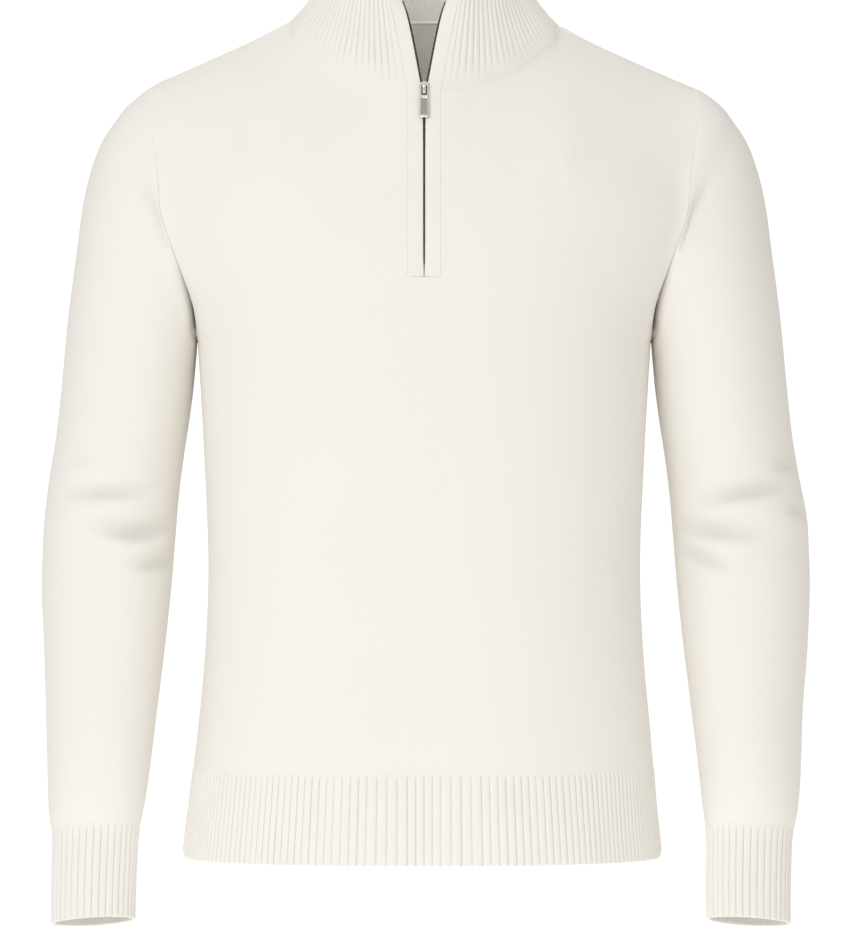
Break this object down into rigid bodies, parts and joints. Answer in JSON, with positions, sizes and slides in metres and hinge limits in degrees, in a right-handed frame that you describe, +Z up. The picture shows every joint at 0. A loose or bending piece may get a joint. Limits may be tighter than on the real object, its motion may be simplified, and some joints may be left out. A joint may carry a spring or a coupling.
{
  "type": "quarter zip sweater",
  "caption": "Plain knit pullover with set-in sleeves, ribbed stand collar, hem and cuffs, and a short metal zip with a hinged pull tab.",
  "frame": {"origin": "on the mid-line of the garment, level with the two points where the shoulder seams meet the collar, in the plane of the side seams; this is where the wearer holds it", "axes": "+Z up along the wearer's back, -Y towards the front, +X towards the wearer's left"},
  "size_m": [0.613, 0.2477, 0.8],
  "materials": {
    "knit": "fine plain jersey knit, matt",
    "rib_knit": "ribbed knit, matt",
    "zip_tape": "woven tape, matt",
    "zip_metal": "polished plated metal"
  },
  "bodies": {
    "garment": {"front_panel": "knit", "back_panel": "knit", "sleeve_left": "knit", "sleeve_right": "knit", "cuff_left": "rib_knit", "cuff_right": "rib_knit", "hem_rib_front": "rib_knit", "hem_rib_back": "rib_knit", "collar": "rib_knit", "zip_band_left": "knit", "zip_band_right": "knit", "zip_tape_left": "zip_tape", "zip_tape_right": "zip_tape", "zip_slider": "zip_metal"},
    "pull_tab": {"zip_pull": "zip_metal"}
  },
  "joints": [
    {"name": "pull_hinge", "type": "hinge", "parent": "garment", "child": "pull_tab", "pos_m": [0, -0.0864, -0.05344], "axis": [-1, 0, 0], "range_deg": [0, 150]}
  ]
}
